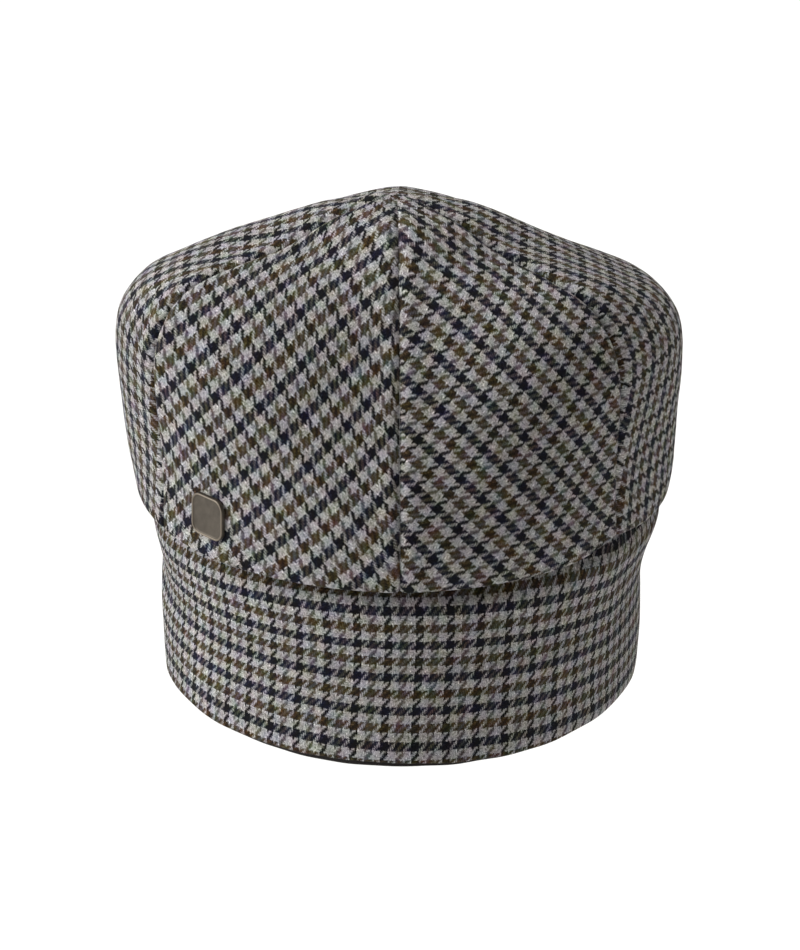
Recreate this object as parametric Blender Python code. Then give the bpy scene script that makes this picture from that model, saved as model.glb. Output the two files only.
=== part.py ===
"""Ivy cap with its ear flap folded down.

Metres, +Z up. The origin is the middle of the head opening, level with the crown's lower edge.
+Y points to the peak, -Y to the back of the head and +X to the wearer's right. Angles run about
the vertical axis from the back (0) over the wearer's right (a quarter turn) to the peak (a half turn).
"""

from bisect import bisect_right
from collections import namedtuple
from math import cos, exp, pi, radians, sin

import bmesh
import bpy
from mathutils import Matrix, Vector

# Crown
CROWN_HEIGHT = 0.1225
APEX_X = -0.001
APEX_Y = -0.003
BASE_HALF_WIDTH = 0.100
BASE_BACK = 0.1067
BASE_FRONT = 0.120
CROWN_CLOTH = 0.002
SEAM_GAP = 0.0003
LEFT_SEAM_ANGLE = radians(64.7)
RIGHT_SEAM_ANGLE = radians(56)

# Ear flap, a band that hangs from inside the crown's lower edge
FLAP_DROP = 0.072
FLAP_TUCK = 0.009
FLAP_CLOTH = 0.002
FLAP_FRONT = 0.103
FLAP_SEAT_GAP = 0.0005
FLAP_END_ANGLE = radians(116)
FLAP_TAPER_ANGLE = radians(78)
FLAP_END_DROP = 0.022
LINING_CLOTH = 0.0012
LINING_GAP = 0.0003
LINING_PEEK = 0.0012

# Peak, under the crown's front edge
PEAK_REACH = 0.050
PEAK_CORNER_REACH = 0.014
PEAK_CORNER_ANGLE = radians(62)
PEAK_ROOT_HALF_WIDTH = 0.087
PEAK_ROOT_FRONT = 0.100
PEAK_THICKNESS = 0.004
PEAK_ARCH = 0.009
PEAK_FALL = 0.012
PEAK_SEAT_GAP = 0.0006

# Plain metal plate on the wearer's left
BADGE_ANGLE = radians(-46)
BADGE_ALONG = 0.905
BADGE_WIDTH = 0.0175
BADGE_HEIGHT = 0.0168
BADGE_CORNER = 0.0045
BADGE_THICKNESS = 0.0016
BADGE_RIM = 0.001
BADGE_FIELD_DEPTH = 0.0005
BADGE_BEVEL = 0.0003
BADGE_GAP = 0.0003

# Facets
CROWN_ROWS = 16
COLUMN_ANGLE = radians(5.9)
PEAK_ROWS = 4
CORNER_STEPS = 5
NUDGE = 1e-3

# The crown's profile from the apex down to its lower edge, at the back, the seam corners, the sides,
# the temples and the front. along is the share of the profile's length. Each pair holds how far out
# the cloth is, as a share of the plan distance from the apex to the lower edge, and how high, as a
# share of the height over that edge.
ProfileRow = namedtuple("ProfileRow", "along back corner side temple front")
PROFILE = [
    ProfileRow(0.00, (0.000, 1.000), (0.000, 1.000), (0.000, 1.000), (0.000, 1.000), (0.000, 1.000)),
    ProfileRow(0.05, (0.088, 0.990), (0.096, 0.989), (0.096, 0.989), (0.064, 0.981), (0.052, 0.983)),
    ProfileRow(0.12, (0.204, 0.957), (0.227, 0.943), (0.226, 0.940), (0.150, 0.927), (0.125, 0.939)),
    ProfileRow(0.24, (0.397, 0.892), (0.449, 0.878), (0.450, 0.890), (0.300, 0.878), (0.250, 0.886)),
    ProfileRow(0.36, (0.568, 0.793), (0.676, 0.844), (0.669, 0.832), (0.450, 0.788), (0.375, 0.806)),
    ProfileRow(0.46, (0.682, 0.687), (0.860, 0.803), (0.859, 0.764), (0.585, 0.714), (0.480, 0.735)),
    ProfileRow(0.54, (0.764, 0.595), (0.972, 0.729), (0.981, 0.707), (0.690, 0.648), (0.565, 0.665)),
    ProfileRow(0.62, (0.837, 0.498), (1.035, 0.603), (1.060, 0.604), (0.790, 0.580), (0.650, 0.582)),
    ProfileRow(0.72, (0.922, 0.375), (1.030, 0.445), (1.074, 0.443), (0.900, 0.478), (0.755, 0.457)),
    ProfileRow(0.82, (0.984, 0.242), (1.010, 0.288), (1.058, 0.285), (0.980, 0.327), (0.860, 0.310)),
    ProfileRow(0.91, (1.011, 0.114), (0.998, 0.144), (1.035, 0.142), (1.015, 0.168), (0.950, 0.158)),
    ProfileRow(1.00, (1.000, 0.000), (1.000, 0.000), (1.000, 0.000), (1.000, 0.000), (1.000, 0.000)),
]
PROFILE_ANGLES = [0, radians(64), radians(90), radians(125), pi]

# Soft dents of the crown: where they lie, how wide they spread, and how far the cloth moves in and
# down there, as shares of the crown's height.
Dent = namedtuple("Dent", "angle along angle_spread along_spread inward down")
DENTS = [
    Dent(radians(87), 0.46, radians(21), 0.20, 0.020, 0.074),
    Dent(radians(84), 0.97, radians(15), 0.08, -0.018, 0.000),
    Dent(radians(74), 0.42, radians(7), 0.16, 0.004, 0.012),
    Dent(radians(-74), 0.42, radians(7), 0.16, 0.004, 0.012),
]

# Levels of the flap from its tucked top to its lower edge: height as a share of the tuck (above the
# crown's edge) or of the drop (below it), and half width and depth as shares of the crown's inside.
FlapLevel = namedtuple("FlapLevel", "height half_width depth")
FLAP_LEVELS = [
    FlapLevel(1.00, 0.988, 0.984),
    FlapLevel(0.00, 0.999, 0.999),
    FlapLevel(-0.12, 0.980, 1.001),
    FlapLevel(-0.28, 0.950, 0.999),
    FlapLevel(-0.48, 0.938, 1.002),
    FlapLevel(-0.73, 0.932, 1.013),
    FlapLevel(-1.00, 0.923, 1.027),
]

TWEED = (0.165, 0.155, 0.140, 1)
LINING = (0.012, 0.011, 0.012, 1)
PEWTER = (0.140, 0.125, 0.108, 1)


def smooth_value(place, knots, rows, level_ends):
    """Row of values at a place on the smooth curve that passes through the rows at the knots."""
    last = len(knots) - 1
    start = min(max(bisect_right(knots, place) - 1, 0), last - 1)
    span = knots[start + 1] - knots[start]

    def slope(i):
        if level_ends and i in (0, last):
            return [0] * len(rows[i])
        before, after = max(i - 1, 0), min(i + 1, last)
        return [(b - a) / (knots[after] - knots[before]) for a, b in zip(rows[before], rows[after])]

    t = (place - knots[start]) / span
    ease = t * t * (3 - 2 * t)
    leave = t * (1 - t) ** 2 * span
    arrive = t * t * (t - 1) * span
    ends = zip(rows[start], rows[start + 1], slope(start), slope(start + 1))
    return [a + (b - a) * ease + leave * da + arrive * db for a, b, da, db in ends]


def bell(distance, spread):
    """One at no distance, falling smoothly to nothing."""
    return exp(-((distance / spread) ** 2))


def turn_between(first, second):
    """Signed angle from second to first, within half a turn."""
    return (first - second + pi) % (2 * pi) - pi


def outline_point(angle, half_width, back, front):
    """Point of an oval whose back and front halves have their own depth."""
    depth = back if cos(angle) > 0 else front
    return Vector((half_width * sin(angle), -depth * cos(angle), 0))


def peak_root(angle):
    return outline_point(angle, PEAK_ROOT_HALF_WIDTH, PEAK_ROOT_FRONT, PEAK_ROOT_FRONT)


def peak_reach(angle):
    """How far the peak stands out from its root, greatest at the front."""
    share = min(abs(turn_between(angle, pi)) / PEAK_CORNER_ANGLE, 1)
    return PEAK_CORNER_REACH + (PEAK_REACH - PEAK_CORNER_REACH) * cos(share * pi / 2)


def peak_outline(angle):
    root = peak_root(angle)
    return root + root.normalized() * peak_reach(angle)


PEAK_TIP = peak_outline(pi)
PEAK_CORNER = peak_outline(pi - PEAK_CORNER_ANGLE)


def peak_top(place):
    """Height of the peak's upper face, arched across and falling to the front."""
    across = 1 - (place.x / PEAK_CORNER.x) ** 2
    forward = (place.y - PEAK_CORNER.y) / (PEAK_TIP.y - PEAK_CORNER.y)
    if forward < 0:
        return -PEAK_SEAT_GAP
    fade = min(forward * 4, 1)
    return PEAK_ARCH * max(across, 0) * fade - PEAK_FALL * forward**1.5 - PEAK_SEAT_GAP


def crown_shares(angle, along):
    """How far out and how high the crown's cloth is, as shares, at an angle and along its profile."""
    knots = [row.along for row in PROFILE]
    profiles = zip(*(row[1:] for row in PROFILE))
    pairs = [smooth_value(along, knots, profile, False) for profile in profiles]
    return smooth_value(abs(turn_between(angle, 0)), PROFILE_ANGLES, pairs, True)


def crown_point(angle, along):
    """Point of the crown's outer face."""
    apex = Vector((APEX_X, APEX_Y, 0))
    edge = outline_point(angle, BASE_HALF_WIDTH, BASE_BACK, BASE_FRONT)
    low = peak_top(edge) + PEAK_SEAT_GAP
    out, up = crown_shares(angle, along)
    point = apex.lerp(edge, out)
    point.z = low + (CROWN_HEIGHT - low) * up
    outward = (edge - apex).normalized()
    for dent in DENTS:
        strength = bell(turn_between(angle, dent.angle), dent.angle_spread)
        strength *= bell(along - dent.along, dent.along_spread) * CROWN_HEIGHT
        point -= outward * dent.inward * strength
        point.z -= dent.down * strength * (1 - along)
    return point


def crown_normal(angle, along):
    across = crown_point(angle + NUDGE, along) - crown_point(angle - NUDGE, along)
    down = crown_point(angle, along + NUDGE) - crown_point(angle, along - NUDGE)
    return down.cross(across).normalized()


def flap_point(angle, level, inset, peek):
    """Point of the flap, inset from its outer face and let down by peek below its lower edge."""
    taper = (abs(angle) - FLAP_TAPER_ANGLE) / (FLAP_END_ANGLE - FLAP_TAPER_ANGLE)
    taper = min(max(taper, 0), 1)
    rise = taper * taper * (3 - 2 * taper)
    drop = FLAP_DROP + (FLAP_END_DROP - FLAP_DROP) * rise + peek
    seat = CROWN_CLOTH + FLAP_SEAT_GAP
    half_width = (BASE_HALF_WIDTH - seat) * level.half_width - inset
    back = (BASE_BACK - seat) * level.depth - inset
    front = FLAP_FRONT * level.depth - inset
    point = outline_point(angle, half_width, back, front)
    point.z = level.height * (FLAP_TUCK if level.height > 0 else drop)
    return point


def even_steps(first, last, count):
    return [first + (last - first) * i / count for i in range(count + 1)]


def columns_over(angle):
    return max(round(angle / COLUMN_ANGLE), 2)


def finish(name, mesh, colour, roughness, metallic=0):
    """Object of one closed mesh, shaded smooth but for its edges, with its own material."""
    bmesh.ops.recalc_face_normals(mesh, faces=mesh.faces)
    data = bpy.data.meshes.new(name)
    mesh.to_mesh(data)
    mesh.free()
    data.shade_smooth()
    data.set_sharp_from_angle(angle=radians(40))
    material = bpy.data.materials.new(name)
    material.use_nodes = True
    shader = material.node_tree.nodes["Principled BSDF"]
    shader.inputs["Base Color"].default_value = colour
    shader.inputs["Roughness"].default_value = roughness
    shader.inputs["Metallic"].default_value = metallic
    data.materials.append(material)
    made = bpy.data.objects.new(name, data)
    bpy.context.collection.objects.link(made)
    return made


def add_face(mesh, *corners):
    """Face over the corners, or none where corners that fall together leave no area."""
    ring = list(dict.fromkeys(corners))
    if len(ring) > 2:
        mesh.faces.new(ring)


def shell(outer_rows, inner_rows):
    """Closed wall between two matching grids of points. A first row of one point is a tip."""
    mesh = bmesh.new()
    width = len(outer_rows[-1])

    def place(rows):
        made = [[mesh.verts.new(point) for point in row] for row in rows]
        return [row * width if len(row) == 1 else row for row in made]

    outer, inner = place(outer_rows), place(inner_rows)
    for grid in (outer, inner):
        for upper, lower in zip(grid, grid[1:]):
            for i in range(width - 1):
                add_face(mesh, upper[i], upper[i + 1], lower[i + 1], lower[i])
    for i in range(width - 1):
        add_face(mesh, outer[-1][i], outer[-1][i + 1], inner[-1][i + 1], inner[-1][i])
        if len(outer_rows[0]) > 1:
            add_face(mesh, outer[0][i], outer[0][i + 1], inner[0][i + 1], inner[0][i])
    for side in (0, width - 1):
        for upper in range(len(outer) - 1):
            lower = upper + 1
            corners = outer[upper][side], outer[lower][side], inner[lower][side], inner[upper][side]
            add_face(mesh, *corners)
    return mesh


def crown_panel(name, first_angle, last_angle):
    """Cloth panel from the apex to the lower edge, half a seam gap clear of each seam."""
    middle = (first_angle + last_angle) / 2
    half_turn = (last_angle - first_angle) / 2
    apex = Vector((APEX_X, APEX_Y, 0))
    edge = outline_point(middle, BASE_HALF_WIDTH, BASE_BACK, BASE_FRONT)
    tip = apex + (edge - apex).normalized() * (SEAM_GAP / 2 / sin(half_turn))
    tip.z = CROWN_HEIGHT
    outer_rows = [[tip]]
    inner_rows = [[tip - Vector((0, 0, CROWN_CLOTH))]]
    columns = columns_over(last_angle - first_angle)
    for along in even_steps(0, 1, CROWN_ROWS)[1:]:
        ends = []
        for angle, way in ((first_angle, 1), (last_angle, -1)):
            stride = crown_point(angle + NUDGE, along) - crown_point(angle, along)
            ends.append(angle + way * SEAM_GAP / 2 * NUDGE / stride.length)
        angles = even_steps(ends[0], ends[1], columns)
        outer = [crown_point(angle, along) for angle in angles]
        inner = [p - crown_normal(a, along) * CROWN_CLOTH for p, a in zip(outer, angles)]
        outer_rows.append(outer)
        inner_rows.append(inner)
    for outer, inner in zip(outer_rows[-1], inner_rows[-1]):
        inner.z = outer.z
    return finish(name, shell(outer_rows, inner_rows), TWEED, 0.9)


def flap_band(name, inset, thickness, peek, colour):
    """Band that hangs round the back and sides, from inside the crown's lower edge."""
    angles = even_steps(-FLAP_END_ANGLE, FLAP_END_ANGLE, columns_over(2 * FLAP_END_ANGLE))
    faces = []
    for depth in (inset, inset + thickness):
        faces.append([[flap_point(a, level, depth, peek) for a in angles] for level in FLAP_LEVELS])
    return finish(name, shell(*faces), colour, 0.95)


def peak():
    """Stiffened peak, its crescent set under the crown's front edge."""
    first, last = pi - PEAK_CORNER_ANGLE, pi + PEAK_CORNER_ANGLE
    angles = even_steps(first, last, columns_over(last - first))
    top, bottom = [], []
    for share in even_steps(0, 1, PEAK_ROWS):
        row = [peak_root(angle).lerp(peak_outline(angle), share) for angle in angles]
        top.append([Vector((p.x, p.y, peak_top(p))) for p in row])
        bottom.append([Vector((p.x, p.y, peak_top(p) - PEAK_THICKNESS)) for p in row])
    return finish("peak", shell(top, bottom), TWEED, 0.9)


def rounded_outline(width, height, corner, lift):
    """Ring of points round an upright rectangle with round corners."""
    ring = []
    for quarter in range(4):
        side_x = 1 if quarter in (0, 3) else -1
        side_y = 1 if quarter in (0, 1) else -1
        middle_x = side_x * (width / 2 - corner)
        middle_y = side_y * (height / 2 - corner)
        for turn in even_steps(quarter * pi / 2, (quarter + 1) * pi / 2, CORNER_STEPS):
            ring.append(Vector((middle_x + corner * cos(turn), middle_y + corner * sin(turn), lift)))
    return ring


def badge():
    """Plain plate with a raised rim, standing on the cloth's face."""
    top = BADGE_THICKNESS
    steps = (
        (0, 0),
        (0, top - BADGE_BEVEL),
        (BADGE_BEVEL, top),
        (BADGE_RIM, top),
        (BADGE_RIM, top - BADGE_FIELD_DEPTH),
    )
    mesh = bmesh.new()
    rings = []
    for inset, lift in steps:
        size = BADGE_WIDTH - 2 * inset, BADGE_HEIGHT - 2 * inset
        outline = rounded_outline(*size, BADGE_CORNER - inset, lift)
        rings.append([mesh.verts.new(point) for point in outline])
    for lower, upper in zip(rings, rings[1:]):
        for i in range(len(lower)):
            add_face(mesh, lower[i - 1], lower[i], upper[i], upper[i - 1])
    mesh.faces.new(rings[0])
    mesh.faces.new(rings[-1])
    plate = finish("badge_plate", mesh, PEWTER, 0.45, 1)
    normal = crown_normal(BADGE_ANGLE, BADGE_ALONG)
    up = Vector((0, 0, 1))
    side = up.cross(normal).normalized()
    turned = Matrix((side, normal.cross(side), normal)).transposed().to_4x4()
    seat = crown_point(BADGE_ANGLE, BADGE_ALONG) + normal * BADGE_GAP
    plate.matrix_world = Matrix.Translation(seat) @ turned
    return plate


def build():
    for old in list(bpy.data.objects):
        bpy.data.objects.remove(old, do_unlink=True)
    cap = bpy.data.objects.new("cap", None)
    bpy.context.collection.objects.link(cap)
    parts = [
        crown_panel("crown_top", RIGHT_SEAM_ANGLE, 2 * pi - LEFT_SEAM_ANGLE),
        crown_panel("back_left", -LEFT_SEAM_ANGLE, 0),
        crown_panel("back_right", 0, RIGHT_SEAM_ANGLE),
        flap_band("ear_flap", 0, FLAP_CLOTH, 0, TWEED),
        flap_band("flap_lining", FLAP_CLOTH + LINING_GAP, LINING_CLOTH, LINING_PEEK, LINING),
        peak(),
        badge(),
    ]
    for part in parts:
        part.parent = cap


build()
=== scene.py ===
from collections import namedtuple
from math import cos, pi, radians, sin

import bmesh
import bpy
import numpy as np
from mathutils import Matrix, Vector, noise


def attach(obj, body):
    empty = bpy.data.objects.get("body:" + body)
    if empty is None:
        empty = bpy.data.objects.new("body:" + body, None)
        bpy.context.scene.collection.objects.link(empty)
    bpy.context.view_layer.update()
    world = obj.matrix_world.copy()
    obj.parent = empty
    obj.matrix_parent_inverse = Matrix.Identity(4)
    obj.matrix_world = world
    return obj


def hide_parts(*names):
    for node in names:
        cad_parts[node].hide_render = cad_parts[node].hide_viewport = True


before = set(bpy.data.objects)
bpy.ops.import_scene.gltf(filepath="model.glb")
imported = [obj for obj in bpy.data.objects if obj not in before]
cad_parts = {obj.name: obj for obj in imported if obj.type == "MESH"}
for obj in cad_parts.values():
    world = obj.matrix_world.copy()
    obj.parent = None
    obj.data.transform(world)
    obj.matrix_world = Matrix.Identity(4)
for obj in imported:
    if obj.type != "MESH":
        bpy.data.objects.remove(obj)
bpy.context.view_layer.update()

# Sizes of the cap, as in the part's source. Metres, +Z up, +Y to the peak, +X the wearer's right.
# Angles run about Z from the back (0) over the wearer's right to the peak (half a turn).
CROWN_HEIGHT = 0.1225
APEX = np.array([-0.001, -0.003, 0.0])
BASE_HALF_WIDTH = 0.100
BASE_BACK = 0.1067
BASE_FRONT = 0.120
CROWN_CLOTH = 0.002
LEFT_SEAM_ANGLE = radians(64.7)
RIGHT_SEAM_ANGLE = radians(56)
FLAP_DROP = 0.072
FLAP_TUCK = 0.009
FLAP_CLOTH = 0.002
FLAP_FRONT = 0.103
FLAP_SEAT_GAP = 0.0005
FLAP_END_ANGLE = radians(116)
FLAP_TAPER_ANGLE = radians(78)
FLAP_END_DROP = 0.022
LINING_CLOTH = 0.0012
LINING_GAP = 0.0003
LINING_PEEK = 0.0012
PEAK_REACH = 0.050
PEAK_CORNER_REACH = 0.014
PEAK_CORNER_ANGLE = radians(62)
PEAK_ROOT_HALF_WIDTH = 0.087
PEAK_ROOT_FRONT = 0.100
PEAK_THICKNESS = 0.004
PEAK_ARCH = 0.009
PEAK_FALL = 0.012
PEAK_SEAT_GAP = 0.0006
BADGE_ANGLE = radians(-46)
BADGE_ALONG = 0.905
BADGE_WIDTH = 0.0175
BADGE_HEIGHT = 0.0168
BADGE_CORNER = 0.0045
BADGE_GAP = 0.0003

# The crown's profile: along it, then how far out and how high as shares, at each station.
ProfileRow = namedtuple("ProfileRow", "along back corner side temple front")
PROFILE = [
    ProfileRow(0.00, (0.000, 1.000), (0.000, 1.000), (0.000, 1.000), (0.000, 1.000), (0.000, 1.000)),
    ProfileRow(0.05, (0.088, 0.990), (0.096, 0.989), (0.096, 0.989), (0.064, 0.981), (0.052, 0.983)),
    ProfileRow(0.12, (0.204, 0.957), (0.227, 0.943), (0.226, 0.940), (0.150, 0.927), (0.125, 0.939)),
    ProfileRow(0.24, (0.397, 0.892), (0.449, 0.878), (0.450, 0.890), (0.300, 0.878), (0.250, 0.886)),
    ProfileRow(0.36, (0.568, 0.793), (0.676, 0.844), (0.669, 0.832), (0.450, 0.788), (0.375, 0.806)),
    ProfileRow(0.46, (0.682, 0.687), (0.860, 0.803), (0.859, 0.764), (0.585, 0.714), (0.480, 0.735)),
    ProfileRow(0.54, (0.764, 0.595), (0.972, 0.729), (0.981, 0.707), (0.690, 0.648), (0.565, 0.665)),
    ProfileRow(0.62, (0.837, 0.498), (1.035, 0.603), (1.060, 0.604), (0.790, 0.580), (0.650, 0.582)),
    ProfileRow(0.72, (0.922, 0.375), (1.030, 0.445), (1.074, 0.443), (0.900, 0.478), (0.755, 0.457)),
    ProfileRow(0.82, (0.984, 0.242), (1.010, 0.288), (1.058, 0.285), (0.980, 0.327), (0.860, 0.310)),
    ProfileRow(0.91, (1.011, 0.114), (0.998, 0.144), (1.035, 0.142), (1.015, 0.168), (0.950, 0.158)),
    ProfileRow(1.00, (1.000, 0.000), (1.000, 0.000), (1.000, 0.000), (1.000, 0.000), (1.000, 0.000)),
]
PROFILE_ANGLES = [0, radians(64), radians(90), radians(125), pi]
Dent = namedtuple("Dent", "angle along angle_spread along_spread inward down")
DENTS = [
    Dent(radians(87), 0.46, radians(21), 0.20, 0.020, 0.074),
    Dent(radians(84), 0.97, radians(15), 0.08, -0.018, 0.000),
    Dent(radians(74), 0.42, radians(7), 0.16, 0.004, 0.012),
    Dent(radians(-74), 0.42, radians(7), 0.16, 0.004, 0.012),
]
# How far out the flap stands at each height, as shares of the crown's inside.
FlapLevel = namedtuple("FlapLevel", "height half_width depth")
FLAP_LEVELS = [
    FlapLevel(1.00, 0.988, 0.984),
    FlapLevel(0.00, 0.999, 0.999),
    FlapLevel(-0.12, 0.980, 1.001),
    FlapLevel(-0.28, 0.950, 0.999),
    FlapLevel(-0.48, 0.938, 1.002),
    FlapLevel(-0.73, 0.932, 1.013),
    FlapLevel(-1.00, 0.923, 1.027),
]

# The cloth: a check of four light and four dark threads each way, in millimetres. The whole pattern comes
# again after 16 threads, when both darks have had their turn.
WARP_THREAD = 5.8 / 8
WEFT_THREAD = 6.9 / 8
CHECK_THREADS = 16
TO_MM = 1000


def smooth(place, knots, rows, level_ends=False):
    """Values at each place on the smooth curves through the rows at the knots. Rows that have a column for
    each place are read in that column."""
    knots = np.asarray(knots, float)
    rows = np.asarray(rows, float)
    each = rows.ndim == 3
    wide = (-1,) + (1,) * (rows.ndim - 1)
    slopes = np.zeros_like(rows)
    slopes[1:-1] = (rows[2:] - rows[:-2]) / (knots[2:] - knots[:-2]).reshape(wide)
    if not level_ends:
        slopes[0] = (rows[1] - rows[0]) / (knots[1] - knots[0])
        slopes[-1] = (rows[-1] - rows[-2]) / (knots[-1] - knots[-2])
    first = np.clip(np.searchsorted(knots, place, side="right") - 1, 0, len(knots) - 2)
    span = (knots[first + 1] - knots[first])[:, None]
    t = (place - knots[first])[:, None] / span
    column = np.arange(len(first))

    def pick(table, at):
        return table[at, column] if each else table[at]

    start, end = pick(rows, first), pick(rows, first + 1)
    leave, arrive = pick(slopes, first), pick(slopes, first + 1)
    ease = t * t * (3 - 2 * t)
    return start + (end - start) * ease + t * (1 - t) ** 2 * span * leave + t * t * (t - 1) * span * arrive


def bell(distance, spread):
    return np.exp(-((distance / spread) ** 2))


def ramp(value, low, high):
    """Nothing below low, one above high, smooth between."""
    t = np.clip((value - low) / (high - low), 0, 1)
    return t * t * (3 - 2 * t)


def turn_between(first, second):
    return (first - second + pi) % (2 * pi) - pi


def unit(vectors):
    return vectors / np.maximum(np.linalg.norm(vectors, axis=-1, keepdims=True), 1e-12)


def oval(angle, half_width, back, front):
    depth = np.where(np.cos(angle) > 0, back, front)
    return np.stack([half_width * np.sin(angle), -depth * np.cos(angle), 0 * angle], -1)


def peak_outline(angle):
    """Root and outer edge of the peak at each angle."""
    root = oval(angle, PEAK_ROOT_HALF_WIDTH, PEAK_ROOT_FRONT, PEAK_ROOT_FRONT)
    share = np.minimum(np.abs(turn_between(angle, pi)) / PEAK_CORNER_ANGLE, 1)
    reach = PEAK_CORNER_REACH + (PEAK_REACH - PEAK_CORNER_REACH) * np.cos(share * pi / 2)
    return root, root + unit(root) * reach[..., None]


PEAK_TIP, PEAK_CORNER = peak_outline(np.array([pi, pi - PEAK_CORNER_ANGLE]))[1]


def peak_top(x, y):
    """Height of the peak's upper face."""
    across = np.maximum(1 - (x / PEAK_CORNER[0]) ** 2, 0)
    forward = np.maximum((y - PEAK_CORNER[1]) / (PEAK_TIP[1] - PEAK_CORNER[1]), 0)
    return PEAK_ARCH * across * np.minimum(forward * 4, 1) - PEAK_FALL * forward**1.5 - PEAK_SEAT_GAP


def crown_place(angle, along):
    """Points of the crown's outer face, for grids of angles and of places along the profile."""
    shape = angle.shape
    angle, along = angle.ravel(), along.ravel()
    edge = oval(angle, BASE_HALF_WIDTH, BASE_BACK, BASE_FRONT)
    low = peak_top(edge[:, 0], edge[:, 1]) + PEAK_SEAT_GAP
    shares = smooth(along, [row.along for row in PROFILE], [np.ravel(row[1:]) for row in PROFILE])
    stations = shares.reshape(len(along), -1, 2).swapaxes(0, 1)
    out, up = smooth(np.abs(turn_between(angle, 0)), PROFILE_ANGLES, stations, True).T
    place = APEX + (edge - APEX) * out[:, None]
    place[:, 2] = low + (CROWN_HEIGHT - low) * up
    outward = unit(edge - APEX)
    for dent in DENTS:
        strength = bell(turn_between(angle, dent.angle), dent.angle_spread)
        strength = strength * bell(along - dent.along, dent.along_spread) * CROWN_HEIGHT
        place -= outward * (dent.inward * strength)[:, None]
        place[:, 2] -= dent.down * strength * (1 - along)
    return place.reshape(shape + (3,))


def normals_of(grid):
    """Unit normals of a grid of points, from its own rows and columns."""
    down = np.gradient(grid, axis=0)
    across = np.gradient(grid, axis=1)
    return unit(np.cross(down, across))


def lengths_along(grid, axis):
    """Distance gone along each line of a grid."""
    steps = np.linalg.norm(np.diff(grid, axis=axis), axis=-1)
    gone = np.cumsum(steps, axis=axis)
    start = np.zeros_like(np.take(gone, [0], axis=axis))
    return np.concatenate([start, gone], axis=axis)


def unevenness(grid, size, seed):
    """Soft random heights from -1 to 1, with swells of about that size in metres."""
    shift = Vector((seed * 7.3, seed * 3.1, seed * 5.7))
    flat = grid.reshape(-1, 3) / size
    values = [noise.noise(Vector(point) + shift) for point in flat]
    return np.array(values).reshape(grid.shape[:-1])


def laid_flat(grid, grain):
    """Lays a grid of cloth flat with as little stretch as it can, given which way its weft runs on each
    facet. Gives two lengths for each point, across the warp and up it."""
    rows, columns = grid.shape[:2]
    index = np.arange(rows * columns).reshape(rows, columns)
    a, b, c, d = index[:-1, :-1], index[:-1, 1:], index[1:, 1:], index[1:, :-1]
    halves = ((a, d, c), (a, c, b))
    faces = np.concatenate([np.stack([p.ravel() for p in half], -1) for half in halves])
    corners = grid.reshape(-1, 3)[faces]
    facing = np.cross(corners[:, 1] - corners[:, 0], corners[:, 2] - corners[:, 0])
    double_area = np.linalg.norm(facing, axis=1)[:, None]
    facing = facing / double_area
    # The front is eased round its curve in the hand, so from the middle on it holds its grain less.
    hold = double_area * (1.02 - ramp(corners[:, :1, 1], 0.0, 0.05))
    weft = grain(corners.mean(1), facing)
    warp = np.cross(facing, weft)
    # How fast a value that is one at a corner and nothing at the others grows over the facet.
    opposite = [corners[:, (i + 2) % 3] - corners[:, (i + 1) % 3] for i in range(3)]
    growth = np.stack([np.cross(facing, side) for side in opposite], 1) / double_area[..., None]
    matrix = np.eye(rows * columns) * 1e-9
    pull = np.zeros((rows * columns, 2))
    for i in range(3):
        for j in range(3):
            weight = (growth[:, i] * growth[:, j]).sum(1) * hold[:, 0]
            np.add.at(matrix, (faces[:, i], faces[:, j]), weight)
        ways = np.stack([(growth[:, i] * way).sum(1) for way in (weft, warp)], -1)
        np.add.at(pull, faces[:, i], ways * hold)
    return np.linalg.solve(matrix, pull).reshape(rows, columns, 2)


def spread_over(values, rows, columns):
    """Values of a coarse grid at the rows and columns of a fine one, both given from 0 to 1."""
    tall, wide, depth = values.shape
    down = smooth(rows, np.linspace(0, 1, tall), values.reshape(tall, -1)).reshape(len(rows), wide, depth)
    across = smooth(columns, np.linspace(0, 1, wide), down.swapaxes(0, 1).reshape(wide, -1))
    return across.reshape(len(columns), len(rows), depth).swapaxes(0, 1)


def into_scene(mesh, name, sharp_angle=None):
    """Puts a finished mesh in the scene, smooth but for folds that are sharper than the angle, if given."""
    data = bpy.data.meshes.new(name)
    mesh.to_mesh(data)
    mesh.free()
    if sharp_angle is not None:
        data.shade_smooth()
        data.set_sharp_from_angle(angle=sharp_angle)
    made = bpy.data.objects.new(name, data)
    bpy.context.scene.collection.objects.link(made)
    return made


def loft(name, rows, cloth):
    """Closed piece of cloth from rows of points that run down its outer face and up its inner one. Each
    point keeps its place on the flat cloth, in millimetres, for the weave."""
    mesh = bmesh.new()
    places = mesh.verts.layers.float_vector.new("cloth")
    made = []
    for line, flat in zip(rows, cloth):
        made.append([mesh.verts.new(point) for point in line])
        for vert, (across, up) in zip(made[-1], flat):
            vert[places] = (across, up, 0)
    count, width = len(made), len(made[0])
    for r in range(count):
        upper, lower = made[r - 1], made[r]
        for i in range(width - 1):
            mesh.faces.new((upper[i], lower[i], lower[i + 1], upper[i + 1]))
    for side in (0, width - 1):
        edge = [line[side] for line in made]
        for r in range(count // 2 - 1):
            mesh.faces.new((edge[r], edge[r + 1], edge[count - 2 - r], edge[count - 1 - r]))
    bmesh.ops.recalc_face_normals(mesh, faces=mesh.faces)
    return into_scene(mesh, name, radians(62))


def worn_by(piece, material, node):
    """Puts a piece on the cap in place of its solid."""
    piece.data.materials.append(material)
    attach(piece, "root")
    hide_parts(node)


FOLD_DEPTH = 0.008
FOLD_STEPS = 10


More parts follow.
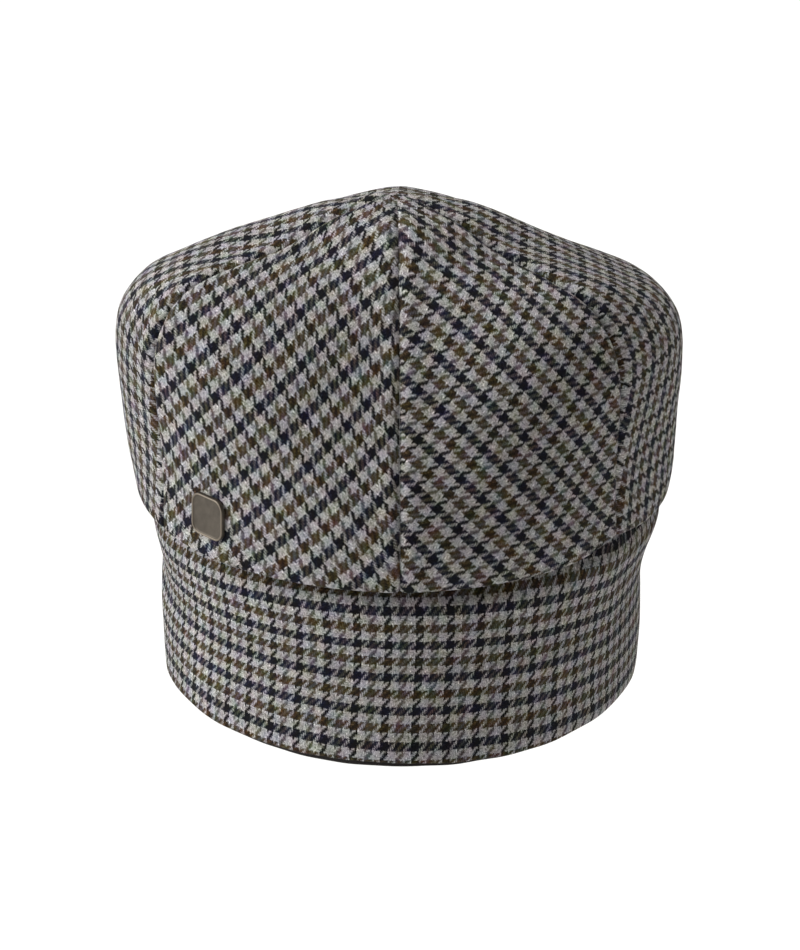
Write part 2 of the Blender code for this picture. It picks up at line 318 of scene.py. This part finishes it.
def folded_wall(outer, normal, cloth, thickness, radius):
    """Rows down the outer face, round a fold at its lower edge and up the inner face."""
    last, inward = outer[-1], -normal[-1]
    down = unit(last - outer[-2])
    step = cloth[-1] - cloth[-2]
    way = step / np.maximum(np.linalg.norm(step, axis=-1, keepdims=True), 1e-9)
    turns = np.linspace(0, pi, FOLD_STEPS + 2)[1:-1]
    fold = [last + radius * (down * sin(t) + inward * (1 - cos(t))) for t in turns]
    fold_cloth = [cloth[-1] + way * radius * t * TO_MM for t in turns]
    up_from_edge = lengths_along(outer[::-1], 0)[::-1]
    deep = thickness + (2 * radius - thickness) * (1 - ramp(up_from_edge, 0, FOLD_DEPTH))
    inner = outer - normal * deep[..., None]
    rows = np.concatenate([outer, np.array(fold), inner[::-1]])
    inner_cloth = cloth + np.array([0.0, radius * pi * TO_MM])
    return rows, np.concatenate([cloth, np.array(fold_cloth), inner_cloth[::-1]])


def linear(hex_colour):
    """sRGB hex colour as linear values."""
    parts = [int(hex_colour[i : i + 2], 16) / 255 for i in (1, 3, 5)]
    return tuple(p / 12.92 if p <= 0.04045 else ((p + 0.055) / 1.055) ** 2.4 for p in parts) + (1,)


def add_node(tree, kind, settings=None, links=None):
    """Adds a node with its settings, and sets or links its sockets."""
    made = tree.nodes.new(kind)
    for key, value in (settings or {}).items():
        setattr(made, key, value)
    for key, value in (links or {}).items():
        if isinstance(value, bpy.types.NodeSocket):
            tree.links.new(value, made.inputs[key])
        else:
            made.inputs[key].default_value = value
    return made


def new_material(name):
    material = bpy.data.materials.new(name)
    material.use_nodes = True
    tree = material.node_tree
    return material, tree, tree.nodes["Principled BSDF"]


LIGHT_WOOL = linear("#BAB8B7")
BLACK_WOOL = linear("#0E0D10")
TAUPE_WOOL = linear("#5F5955")
NAVY_WOOL = linear("#151825")
BROWN_WOOL = linear("#443826")
NAP_FIBRES = linear("#8E8478")
WARP_ORDER = (LIGHT_WOOL, BLACK_WOOL, LIGHT_WOOL, TAUPE_WOOL)
WEFT_ORDER = (LIGHT_WOOL, NAVY_WOOL, LIGHT_WOOL, BROWN_WOOL)
THREAD_BLUR = 0.24


def wool_twill():
    """Lambswool spun as mixed fibres, woven as a two-and-two twill and milled, so its checks have soft
    toothed edges and a faint nap over them."""
    material, tree, shader = new_material("milled_wool_twill")

    def math(operation, *values):
        links = dict(enumerate(values))
        return add_node(tree, "ShaderNodeMath", {"operation": operation}, links).outputs[0]

    def vector(operation, links):
        return add_node(tree, "ShaderNodeVectorMath", {"operation": operation}, links).outputs[0]

    def flat_noise(links):
        return add_node(tree, "ShaderNodeTexNoise", {"noise_dimensions": "2D"}, links).outputs

    def soft_edge(distance):
        # Milling blurs each thread's edge by about a quarter of its width.
        links = {0: distance, 1: -THREAD_BLUR, 2: THREAD_BLUR}
        return add_node(tree, "ShaderNodeMapRange", None, links).outputs[0]

    cloth = add_node(tree, "ShaderNodeAttribute", {"attribute_name": "cloth"}).outputs["Vector"]
    # Threads wander by a tenth of a millimetre, and their fibres stray further.
    wander = flat_noise({"Vector": cloth, "Scale": 0.45, "Detail": 1.0})
    stray = flat_noise({"Vector": cloth, "Scale": 2.6, "Detail": 2.0})
    shifted = cloth
    for source, how_far in ((wander, 0.6), (stray, 1.15)):
        centred = vector("SUBTRACT", {0: source["Color"], 1: (0.5, 0.5, 0.5)})
        offset = vector("SCALE", {0: centred, "Scale": how_far})
        shifted = vector("ADD", {0: shifted, 1: offset})
    split = add_node(tree, "ShaderNodeSeparateXYZ", None, {0: shifted})
    warp_count = math("DIVIDE", split.outputs[0], WARP_THREAD)
    weft_count = math("DIVIDE", split.outputs[1], WEFT_THREAD)
    warp_number, weft_number = math("FLOOR", warp_count), math("FLOOR", weft_count)
    warp_part, weft_part = math("FRACT", warp_count), math("FRACT", weft_count)

    # Four light threads, four dark, four light, four of the other dark.
    colours = []
    for number, wools in ((warp_number, WARP_ORDER), (weft_number, WEFT_ORDER)):
        in_check = math("FLOORED_MODULO", number, CHECK_THREADS)
        share = math("DIVIDE", math("ADD", in_check, 0.5), CHECK_THREADS)
        order = add_node(tree, "ShaderNodeValToRGB", None, {0: share})
        order.color_ramp.interpolation = "CONSTANT"
        stops = order.color_ramp.elements
        for at in (0.25, 0.5):
            stops.new(at)
        stops[3].position = 0.75
        for stop, colour in zip(stops, wools):
            stop.color = colour
        tint = add_node(tree, "ShaderNodeTexWhiteNoise", {"noise_dimensions": "1D"}, {"W": number})
        shade = math("ADD", math("MULTIPLY", tint.outputs["Value"], 0.44), 0.78)
        colours.append(vector("SCALE", {0: order.outputs[0], "Scale": shade}))

    # Each thread passes over two and under two, one further along in each row.
    place = math("FLOORED_MODULO", math("SUBTRACT", warp_number, weft_number), 4)
    run = math("FLOORED_MODULO", math("ADD", math("SUBTRACT", weft_part, place), 2), 4)
    warp_along = math("MULTIPLY", math("SUBTRACT", run, 1), 0.5)
    # Milling spreads a dark weft over the warp, the navy one most, and the warp shows narrower there.
    middle = math("ABSOLUTE", math("SUBTRACT", warp_part, 0.5))
    half_way = math("ABSOLUTE", math("SUBTRACT", warp_along, 0.5))
    light_weft = math("LESS_THAN", math("FLOORED_MODULO", weft_number, CHECK_THREADS / 2), 3.5)
    brown_weft = math("GREATER_THAN", math("FLOORED_MODULO", weft_number, CHECK_THREADS), 11.5)
    half_width = math("MULTIPLY_ADD", light_weft, 0.36, math("MULTIPLY_ADD", brown_weft, 0.08, 0.26))
    half_length = math("MULTIPLY_ADD", light_weft, 0.15, 0.48)
    warp_on_top = math("MULTIPLY", soft_edge(math("SUBTRACT", half_width, middle)),
                       soft_edge(math("SUBTRACT", half_length, half_way)))
    weft_along = math("MULTIPLY", math("ADD", math("SUBTRACT", place, 2), warp_part), 0.5)

    def chosen(weft_value, warp_value):
        return add_node(tree, "ShaderNodeMix", {"data_type": "FLOAT"},
                        {0: warp_on_top, 2: weft_value, 3: warp_value}).outputs[0]

    across = math("SINE", math("MULTIPLY", chosen(weft_part, warp_part), pi))
    along = math("SINE", math("MULTIPLY", chosen(weft_along, warp_along), pi))
    rise = math("MULTIPLY", math("POWER", math("MAXIMUM", across, 0.001), 0.8),
                math("ADD", math("MULTIPLY", math("MAXIMUM", along, 0), 0.5), 0.5))

    # Fibres lie along whichever thread is on top.
    weft_on_top = chosen(1.0, 0.0)
    warp_fibres = vector("MULTIPLY", {0: cloth, 1: (2.1, 0.7, 1)})
    weft_fibres = vector("MULTIPLY", {0: cloth, 1: (0.7, 2.1, 1)})
    fibre_place = add_node(tree, "ShaderNodeMix", {"data_type": "VECTOR"},
                           {0: weft_on_top, 4: warp_fibres, 5: weft_fibres}).outputs[1]
    fibre_links = {"Vector": fibre_place, "Scale": 1.0, "Detail": 2.0, "Roughness": 0.5}
    fibres = flat_noise(fibre_links)["Fac"]
    melange = math("MAXIMUM", math("ADD", math("MULTIPLY", fibres, 4.2), -1.1), 0.25)

    weave = add_node(tree, "ShaderNodeMix", {"data_type": "RGBA"},
                     {0: warp_on_top, 6: colours[1], 7: colours[0]}).outputs[2]
    # Painted shade: the colour is darkened in the gaps between threads and where each float dives under,
    # where shade falls. The melange it is multiplied by is the yarn's own mix of fibres.
    painted_gap_shade = math("ADD", math("MULTIPLY", rise, chosen(0.55, 0.75)), chosen(0.45, 0.22))
    painted_shade_and_melange = math("MULTIPLY", painted_gap_shade, melange)
    weave = vector("SCALE", {0: weave, "Scale": painted_shade_and_melange})

    # The dark yarns turn from olive to red-brown from check to check, as mixed-fibre yarn does, and the
    # light ones hardly at all.
    cast = flat_noise({"Vector": cloth, "Scale": 0.17, "Detail": 1.0})["Color"]
    paleness = add_node(tree, "ShaderNodeSeparateXYZ", None, {0: weave}).outputs[1]
    depth_links = {0: paleness, 1: 0.08, 2: 0.25, 3: 1.5, 4: 0.3}
    cast_depth = add_node(tree, "ShaderNodeMapRange", None, depth_links).outputs[0]
    centred = vector("MULTIPLY_ADD", {0: cast, 1: (0.7, 0.5, 1.1), 2: (-0.35, -0.25, -0.55)})
    cast_shift = vector("SCALE", {0: centred, "Scale": cast_depth})
    weave = vector("MULTIPLY_ADD", {0: weave, 1: cast_shift, 2: weave})

    # The nap: pale loose fibres over the dark threads.
    nap = math("MULTIPLY", math("MAXIMUM", math("SUBTRACT", fibres, 0.5), 0), 0.3)
    weave = add_node(tree, "ShaderNodeMix", {"data_type": "RGBA"},
                     {0: nap, 6: weave, 7: NAP_FIBRES}).outputs[2]
    tree.links.new(weave, shader.inputs["Base Color"])

    height = math("ADD", math("MULTIPLY", rise, 0.75), math("MULTIPLY", fibres, 0.5))
    bump = add_node(tree, "ShaderNodeBump", None, {"Strength": 0.7, "Distance": 0.00022, "Height": height})
    tree.links.new(bump.outputs[0], shader.inputs["Normal"])
    rough = math("ADD", math("MULTIPLY", fibres, 0.12), 0.86)
    tree.links.new(rough, shader.inputs["Roughness"])
    shader.inputs["Specular IOR Level"].default_value = 0.05
    shader.inputs["Sheen Weight"].default_value = 0.03
    shader.inputs["Sheen Roughness"].default_value = 0.45
    shader.inputs["Sheen Tint"].default_value = (1, 0.97, 0.93, 1)
    return material


def brushed_lining():
    """Black-brown brushed cotton, matt, with a short flecked pile."""
    material, tree, shader = new_material("brushed_dark_cotton")
    place = add_node(tree, "ShaderNodeTexCoord").outputs["Object"]
    pile = add_node(tree, "ShaderNodeTexNoise", None,
                    {"Vector": place, "Scale": 1400.0, "Detail": 3.0, "Roughness": 0.7})
    clouds = add_node(tree, "ShaderNodeTexNoise", None, {"Vector": place, "Scale": 90.0, "Detail": 2.0})
    fleck = add_node(tree, "ShaderNodeMath", {"operation": "MULTIPLY_ADD"},
                     {0: clouds.outputs["Fac"], 1: 0.5, 2: pile.outputs["Fac"]})
    tone = add_node(tree, "ShaderNodeValToRGB", None, {0: fleck.outputs[0]})
    tone.color_ramp.elements[0].position, tone.color_ramp.elements[1].position = 0.4, 1.1
    tone.color_ramp.elements[0].color = linear("#0E0D0E")
    tone.color_ramp.elements[1].color = linear("#2B2726")
    tree.links.new(tone.outputs[0], shader.inputs["Base Color"])
    bump = add_node(tree, "ShaderNodeBump", None,
                    {"Strength": 0.6, "Distance": 0.0003, "Height": pile.outputs["Fac"]})
    tree.links.new(bump.outputs[0], shader.inputs["Normal"])
    shader.inputs["Roughness"].default_value = 0.95
    shader.inputs["Specular IOR Level"].default_value = 0.15
    shader.inputs["Sheen Weight"].default_value = 0.15
    return material


def antiqued_pewter():
    """Cast pewter, darkened and rubbed back, so its raised rim is paler than its field."""
    material, tree, shader = new_material("antiqued_cast_pewter")
    place = add_node(tree, "ShaderNodeTexCoord").outputs["Object"]
    lift = add_node(tree, "ShaderNodeSeparateXYZ", None, {0: place}).outputs[2]
    worn = add_node(tree, "ShaderNodeMapRange", None, {0: lift, 1: 0.0013, 2: 0.00158}).outputs[0]
    stain = add_node(tree, "ShaderNodeTexNoise", None, {"Vector": place, "Scale": 420.0, "Detail": 4.0})
    patina = add_node(tree, "ShaderNodeMix", {"data_type": "RGBA"},
                      {0: stain.outputs["Fac"], 6: linear("#47423C"), 7: linear("#6A635A")}).outputs[2]
    tone = add_node(tree, "ShaderNodeMix", {"data_type": "RGBA"},
                    {0: worn, 6: patina, 7: linear("#7D7468")}).outputs[2]
    tree.links.new(tone, shader.inputs["Base Color"])
    shader.inputs["Metallic"].default_value = 1.0
    rough = add_node(tree, "ShaderNodeMapRange", None, {0: stain.outputs["Fac"], 3: 0.42, 4: 0.62})
    tree.links.new(rough.outputs[0], shader.inputs["Roughness"])
    bump = add_node(tree, "ShaderNodeBump", None,
                    {"Strength": 0.4, "Distance": 0.00006, "Height": stain.outputs["Fac"]})
    tree.links.new(bump.outputs[0], shader.inputs["Normal"])
    return material


def white_paper():
    """Seamless white studio paper, matt."""
    material, tree, shader = new_material("seamless_paper")
    place = add_node(tree, "ShaderNodeTexCoord").outputs["Object"]
    grain = add_node(tree, "ShaderNodeTexNoise", None, {"Vector": place, "Scale": 300.0})
    tone = add_node(tree, "ShaderNodeMix", {"data_type": "RGBA"},
                    {0: grain.outputs["Fac"], 6: linear("#EDEDEC"), 7: linear("#F0F0EF")}).outputs[2]
    tree.links.new(tone, shader.inputs["Base Color"])
    shader.inputs["Roughness"].default_value = 1.0
    shader.inputs["Specular IOR Level"].default_value = 0.0
    return material


WOOL = wool_twill()
LINING = brushed_lining()
PEWTER = antiqued_pewter()


def close_at_ends(count, first, grow, near):
    """Places from 0 to 1 with small steps at both ends that grow up to a distance, and count between."""
    close, step = [0.0], first
    while close[-1] + step < near:
        close.append(close[-1] + step)
        step *= grow
    middle = np.linspace(close[-1], 1 - close[-1], count)[1:-1]
    return np.concatenate([close, middle, 1 - np.array(close[::-1])])


def fore_and_aft(places, facing):
    """Weft of the top: its warp runs to the front, level down both sides."""
    front = np.array([0.0, 1.0, 0.0])
    warp = unit(front - facing * (facing @ front)[:, None])
    return np.cross(warp, facing)


def on_the_bias(lean):
    """Weft that leans by an angle from level, as a back panel is cut."""

    def weft(places, facing):
        level = unit(np.cross((0, 0, 1), facing))
        return level * cos(lean) + np.cross(facing, level) * sin(lean)

    return weft


def drawn_by_hand(cloth, drawn, reach):
    """Cloth places, in millimetres, as the maker's hands drew the cloth while it was sewn: moved along
    smooth curves, given as shares of 1, u, v, uu, uv, vv, uuu and so on in decimetres, within reach."""
    low, high = np.array(reach).T
    u, v = np.moveaxis(np.clip(cloth / 100, low, high), -1, 0)
    terms = [u ** (degree - j) * v**j for degree in range(5) for j in range(degree + 1)]
    return cloth + np.stack(terms[: len(drawn[0])], -1) @ np.array(drawn).T * 100


# The cloth of each panel: the angles of its seams, its columns, how its grain runs, and how it was drawn
# by hand from there, along u and along v.
Panel = namedtuple("Panel", "name first last columns grain drawn")
PANELS = [
    Panel("crown_top", RIGHT_SEAM_ANGLE, 2 * pi - LEFT_SEAM_ANGLE, 226, fore_and_aft, (
        (0.054, 0.0226, -0.0186, 0, 0.0168, 0),
        (0.0, 0.1864, -0.049, 0, 0.0076, 0),
    )),
    Panel("back_left", -LEFT_SEAM_ANGLE, 0.0, 74, on_the_bias(radians(42)), (
        (0.0367, 0.0565, -0.0119, 0.087, -0.4223, 0.1265, -0.2947, 0.1702, -0.1467, 0.426,
         -0.2105, 0.4411, -0.1668, 0.5035, 0.1554),
        (-0.0007, -0.2295, -0.0324, -0.0696, -0.1824, 0.0266, 0.223, -0.5206, -0.0128, 0.0381,
         0.1601, -0.2859, -0.4507, 0.1473, 0.0444),
    )),
    Panel("back_right", 0.0, RIGHT_SEAM_ANGLE, 66, on_the_bias(radians(-38)), (
        (-0.0033, 0.08, 0.1203, 0.054, -0.2008, 0.1571, -0.1497, -0.1684, -0.234, -0.3008,
         -0.0761, -0.0983, -0.6113, -0.0737, -0.3122),
        (0.0715, 0.2039, -0.0138, 0.1002, 0.3106, 0.1458, -0.0357, -0.5618, 0.2047, 0.2137,
         -0.0815, 0.2736, -0.5435, -0.0991, 0.1084),
    )),
]
CROWN_ROWS = 118
HEM_ROWS = 16
HEM_RADIUS = 0.0015
TIP_ALONG = 0.0005
CUT_ROWS = 25
SEAM_GAP = 0.00004
TIP_SINK = 0.0024
SHOULDER_RISE = 0.0016
EDGE_LIFT = 0.003
SEAM_DEPTH = 0.0019
SEAM_WIDTH = 0.0010
SEAM_PUFF = 0.0006
BACK_RIDGE = 0.0022
BACK_RIDGE_WIDTH = 0.020


def crown_surface(angle, along):
    """The crown's outer face, with a blunt tip that is fuller round it, and lifted a little where the flap
    pushes its edge up by the right seam."""
    place = crown_place(angle, along)
    place[..., 2] += SHOULDER_RISE * bell(along - 0.16, 0.07) - TIP_SINK * bell(along, 0.09)
    by_the_seam = bell(turn_between(angle, radians(55)), radians(9))
    place[..., 2] += EDGE_LIFT * by_the_seam * bell(along - 1, 0.12)
    return place


def crown_relief(panel, along, base):
    """How far the cloth stands off its plain form: seams, the ridge at the centre back and soft folds."""
    across, down = lengths_along(base, 1), lengths_along(base, 0)
    free = 1 - 0.75 * ramp(along, 0.93, 0.985)
    relief = (0.00045 * unevenness(base, 0.028, 1) + 0.00022 * unevenness(base, 0.011, 2)) * free
    for distance, seam in ((across, panel.first), (across[:, -1:] - across, panel.last)):
        drawn = unevenness(np.stack([across * 0, down, down * 0 + cos(seam)], -1), 0.0065, 3)
        relief -= SEAM_DEPTH * np.exp(-distance / SEAM_WIDTH) * (1 + 0.3 * drawn)
        relief += SEAM_PUFF * bell(distance - 0.0045, 0.0028) * (1 + 1.1 * drawn) * free
        if seam == 0:
            height = ramp(along, 0.02, 0.3) * (1 - 0.5 * ramp(along, 0.85, 1.0))
            relief += BACK_RIDGE * np.exp(-distance / BACK_RIDGE_WIDTH) * height
    return relief * ramp(along, 0.0, 0.17)


def beyond(places):
    """The same places and one more at each end, so that slopes at the ends are true."""
    return np.concatenate([[2 * places[0] - places[1]], places, [2 * places[-1] - places[-2]]])


def crown_panel(panel):
    """One panel of the crown, cut flat, laid over its form and folded under at its lower edge."""
    width = panel.last - panel.first
    reach = 0.105 * width
    places = close_at_ends(panel.columns, 0.00028 / reach, 1.25, 0.007 / reach)
    stop = 1 - HEM_RADIUS / 0.195
    rows = np.concatenate([np.linspace(0, 0.93, CROWN_ROWS)[:-1], np.linspace(0.93, 1, HEM_ROWS)])
    along = TIP_ALONG + (stop - TIP_ALONG) * rows
    angles, alongs = np.meshgrid(panel.first + width * places, along)
    base = crown_surface(angles, alongs)
    wide = crown_surface(*np.meshgrid(panel.first + width * beyond(places), beyond(along)))
    normal = normals_of(wide)[1:-1, 1:-1]
    outer = base + normal * crown_relief(panel, alongs, base)[..., None]

    cut_columns = max(round(width / radians(4.5)), 13)
    cut_angles, cut_alongs = np.meshgrid(
        np.linspace(panel.first, panel.last, cut_columns),
        TIP_ALONG + (stop - TIP_ALONG) * np.linspace(0, 1, CUT_ROWS),
    )
    flat = laid_flat(crown_surface(cut_angles, cut_alongs), panel.grain) * TO_MM
    flat -= flat.mean((0, 1))
    cloth = drawn_by_hand(spread_over(flat, rows, places), panel.drawn, ((-2, 2), (-2, 2)))

    sides = np.zeros(outer.shape[1])
    sides[0], sides[-1] = 1, -1
    outer += unit(np.gradient(outer, axis=1)) * (sides * SEAM_GAP / 2)[None, :, None]
    worn_by(loft(panel.name + "_cloth", *folded_wall(outer, normal, cloth, CROWN_CLOTH, HEM_RADIUS)),
            WOOL, panel.name)


for panel in PANELS:
    crown_panel(panel)


FLAP_DRAWN = (
    (0.0047, -0.028, 0.0517, -0.0115, -0.0943, 0.3577, 0.0085, 0.0053, -0.216, 0.3736),
    (0.0133, 0.0084, -0.0013, 0.0556, -0.102, -0.2518, 0.0108, 0.103, -0.1556, -0.4233),
)
# Where the check starts at the flap's middle, under the crown's edge, in millimetres.
FLAP_CHECK_START = np.array([9.15, 15.285])
FLAP_COLUMNS = 300
LINING_COLUMNS = 200
FLAP_TUCK_ROWS = 10
FLAP_ROWS = 60
FLAP_HEM_ROWS = 8
FLAP_HEM = 0.055
FLAP_CREASE = 0.0060
# Where the hanging flap stands out, or in where the last value is below 0. Heights are shares of its drop.
Swell = namedtuple("Swell", "angle angle_spread height height_spread out")
FLAP_SWELLS = [
    Swell(radians(90), radians(17), -0.16, 0.20, 0.0044),
    Swell(radians(90), radians(17), -0.85, 0.25, 0.001),
    Swell(radians(-85), radians(26), -0.45, 0.12, -0.0019),
]


def flap_place(angle, height, inset, peek):
    """Points of the flap or its lining at each angle and height: above 0 tucked into the crown, and from
    0 to -1 hanging below it."""
    shape = angle.shape
    angle, height = angle.ravel(), height.ravel()
    heights = [level.height for level in reversed(FLAP_LEVELS)]
    widths = smooth(height, heights, [level[1:] for level in reversed(FLAP_LEVELS)])
    seat = CROWN_CLOTH + FLAP_SEAT_GAP
    drop = FLAP_DROP + (FLAP_END_DROP - FLAP_DROP) * ramp(np.abs(angle), FLAP_TAPER_ANGLE, FLAP_END_ANGLE)
    drawn_up = bell(angle + radians(12), radians(26))
    drop = drop + peek * (1 + drawn_up)
    half_width = (BASE_HALF_WIDTH - seat) * widths[:, 0] - inset
    back = (BASE_BACK - seat) * widths[:, 1] - inset
    front = FLAP_FRONT * widths[:, 1] - inset
    place = oval(angle, half_width, back, front)
    place[:, 2] = height * np.where(height > 0, FLAP_TUCK, drop)
    out = unit(place * (1, 1, 0))
    hanging = ramp(-height, 0, 0.11)
    stand = unevenness(place * (1, 1, 0.7), 0.040, 5) * 0.0007 + unevenness(place, 0.014, 6) * 0.0002
    for swell in FLAP_SWELLS:
        near = bell(angle - swell.angle, swell.angle_spread)
        stand += swell.out * near * bell(height - swell.height, swell.height_spread)
    crease = 0.0014 * (1 - hanging) + FLAP_CREASE * bell(height, 0.10)
    place += out * (stand * hanging - crease)[:, None]
    edge = unevenness(np.stack([angle, angle * 0, angle * 0], -1), 0.17, 8) * 0.0005
    edge = edge + 0.0006 - 0.0014 * np.sin(angle) + 0.0010 * drawn_up
    place[:, 2] += edge * ramp(-height, 0.6, 1.0)
    return place.reshape(shape + (3,))


def flap_band(name, material, inset, thickness, peek, radius, columns):
    """Band of cloth that hangs round the back and sides, folded under at its lower edge."""
    ends = close_at_ends(columns, 0.001, 1.3, 0.01)
    tuck = np.linspace(1, 0, FLAP_TUCK_ROWS)[:-1]
    hem = -1 + FLAP_HEM * np.linspace(1, 0, FLAP_HEM_ROWS) ** 1.3
    heights = np.concatenate([tuck, -np.linspace(0, 1, FLAP_ROWS)[:-4], hem])
    angles, levels = np.meshgrid(FLAP_END_ANGLE * (2 * ends - 1), heights)
    outer = flap_place(angles, levels, inset, peek)
    outer[FLAP_TUCK_ROWS:] += np.array([0, 0, radius]) * ramp(-levels, 0, 1)[FLAP_TUCK_ROWS:, :, None]
    middle = len(ends) // 2
    round_it = lengths_along(outer, 1)
    round_it -= round_it[:, middle : middle + 1]
    down = lengths_along(outer, 0)
    down -= down[FLAP_TUCK_ROWS - 1 : FLAP_TUCK_ROWS]
    level = round_it[FLAP_TUCK_ROWS + 10]
    cloth = np.stack([(round_it + level) / 2, -down], -1) * TO_MM + FLAP_CHECK_START
    cloth = drawn_by_hand(cloth, FLAP_DRAWN, ((-1.1, 1.1), (-0.55, 0.1)))
    rows = folded_wall(outer, normals_of(outer), cloth, thickness, radius)
    worn_by(loft(name + "_cloth", *rows), material, name)


flap_band("ear_flap", WOOL, 0, FLAP_CLOTH, 0, FLAP_CLOTH / 2, FLAP_COLUMNS)
flap_band("flap_lining", LINING, FLAP_CLOTH + LINING_GAP, LINING_CLOTH, LINING_PEEK,
          LINING_CLOTH / 2, LINING_COLUMNS)


PEAK_COLUMNS = 150
PEAK_ROWS = 26


def covered_peak():
    """The peak: a crescent of board covered in cloth, its outer edge rounded."""
    ends = np.linspace(pi - PEAK_CORNER_ANGLE, pi + PEAK_CORNER_ANGLE, PEAK_COLUMNS)
    root, edge = peak_outline(ends)
    round_off = PEAK_THICKNESS / 2
    way = unit(edge - root)
    shares = np.linspace(0, 1, PEAK_ROWS)[:, None, None]
    top = root + (edge - way * round_off - root) * shares
    top[..., 2] = peak_top(top[..., 0], top[..., 1])
    top[..., 2] += 0.0002 * unevenness(top, 0.02, 9) * ramp(shares[..., 0], 0.1, 0.3)
    turns = np.linspace(0, pi, 12)[1:-1, None, None]
    bull = top[-1] + way * round_off * np.sin(turns)
    bull[..., 2] -= round_off * (1 - np.cos(turns[..., 0]))
    under = top - np.array([0, 0, PEAK_THICKNESS])
    rows = np.concatenate([top, bull, under[::-1]])
    gone = lengths_along(rows, 0)
    cloth = np.stack([-rows[..., 0], rows[0, :, 1] + gone], -1) * TO_MM
    worn_by(loft("peak_cloth", rows, cloth), WOOL, "peak")


covered_peak()


PLATE_COLUMNS = 96


def plain_plate():
    """Small cast plate: a rounded rim round a plain field, standing on the cloth."""
    # Rings from the back's edge over the rim to the field: how far in, and how high.
    steps = [(0.0, 0.0), (0.0, 0.0011), (0.00008, 0.0014), (0.00025, 0.00157), (0.0005, 0.0016),
             (0.0007, 0.00156), (0.00088, 0.0014), (0.00098, 0.0012), (0.0012, 0.0011), (0.0017, 0.00108)]
    turns = (np.arange(PLATE_COLUMNS) + 0.5) / PLATE_COLUMNS * 2 * pi
    mesh = bmesh.new()
    rings = []
    for inset, lift in steps:
        half = np.array([BADGE_WIDTH, BADGE_HEIGHT]) / 2 - inset
        corner = max(BADGE_CORNER - inset, 0.0003)
        ring = []
        for turn in turns:
            way = np.array([cos(turn), sin(turn)])
            ring.append(mesh.verts.new((*((half - corner) * np.sign(way) + corner * way), lift)))
        rings.append(ring)
    for lower, upper in zip(rings, rings[1:]):
        for i in range(len(turns)):
            mesh.faces.new((lower[i - 1], lower[i], upper[i], upper[i - 1]))
    for ring in (rings[0], rings[-1]):
        middle = mesh.verts.new((0, 0, ring[0].co.z))
        for i in range(len(turns)):
            mesh.faces.new((ring[i - 1], ring[i], middle))
    bmesh.ops.recalc_face_normals(mesh, faces=mesh.faces)
    plate = into_scene(mesh, "badge_plate_metal", radians(50))
    nudge = 1e-3
    angle = np.array([[-nudge, 0, nudge]] * 3) + BADGE_ANGLE
    along = np.array([[-nudge] * 3, [0.0] * 3, [nudge] * 3]) + BADGE_ALONG
    near = crown_surface(angle, along)
    normal = Vector(normals_of(near)[1, 1])
    side = Vector((0, 0, 1)).cross(normal).normalized()
    turned = Matrix((side, normal.cross(side), normal)).transposed().to_4x4()
    plate.matrix_world = Matrix.Translation(Vector(near[1, 1]) + normal * BADGE_GAP) @ turned
    worn_by(plate, PEWTER, "badge_plate")


plain_plate()

# The studio. The floor lies far under the cap, which hangs in the air as on a head, so no shadow shows.
FLOOR_DROP = 0.36
FLOOR_REACH = 20
floor_mesh = bmesh.new()
bmesh.ops.create_grid(floor_mesh, x_segments=40, y_segments=40, size=FLOOR_REACH)
floor = into_scene(floor_mesh, "studio_floor")
floor.location.z = -FLOOR_DROP
floor.data.materials.append(white_paper())

Lamp = namedtuple("Lamp", "name towards strength softness colour")
LAMPS = [
    Lamp("left_softbox", (-0.893, -0.157, 0.423), 3.35, radians(36), "#FDFEFF"),
    Lamp("overhead_softbox", (0.0, 0.309, 0.951), 2.38, radians(50), "#FFFFFF"),
    Lamp("right_softbox", (0.963, 0.170, 0.208), 0.12, radians(50), "#FFF6EA"),
]
for lamp in LAMPS:
    light = bpy.data.lights.new(lamp.name, "SUN")
    light.energy = lamp.strength
    light.angle = lamp.softness
    light.color = linear(lamp.colour)[:3]
    holder = bpy.data.objects.new(lamp.name, light)
    holder.rotation_euler = Vector(lamp.towards).to_track_quat("Z", "Y").to_euler()
    bpy.context.scene.collection.objects.link(holder)

world = bpy.data.worlds.new("studio")
world.use_nodes = True
world.node_tree.nodes["Background"].inputs["Color"].default_value = linear("#FFF4E6")
world.node_tree.nodes["Background"].inputs["Strength"].default_value = 0.12
bpy.context.scene.world = world
bpy.context.scene.view_settings.view_transform = "Standard"

# The camera looks from behind and 23 degrees above, from far off, so that the frame's 950 rows hold
# 360 mm of the cap.
CAMERA_DISTANCE = 10.0
CAMERA_ELEVATION = radians(23)
AIM_HEIGHT = 0.0029
FRAME_HEIGHT = 0.3617
SENSOR = 36
camera_data = bpy.data.cameras.new("camera")
camera_data.sensor_width = SENSOR
camera_data.lens = SENSOR * CAMERA_DISTANCE / FRAME_HEIGHT
camera_data.clip_start = 0.1
camera_data.clip_end = 100
camera = bpy.data.objects.new("camera", camera_data)
aim = Vector((0, 0, AIM_HEIGHT))
away = Vector((0, -cos(CAMERA_ELEVATION), sin(CAMERA_ELEVATION)))
camera.location = aim + away * CAMERA_DISTANCE
camera.rotation_euler = away.to_track_quat("Z", "Y").to_euler()
bpy.context.scene.collection.objects.link(camera)
bpy.context.scene.camera = camera
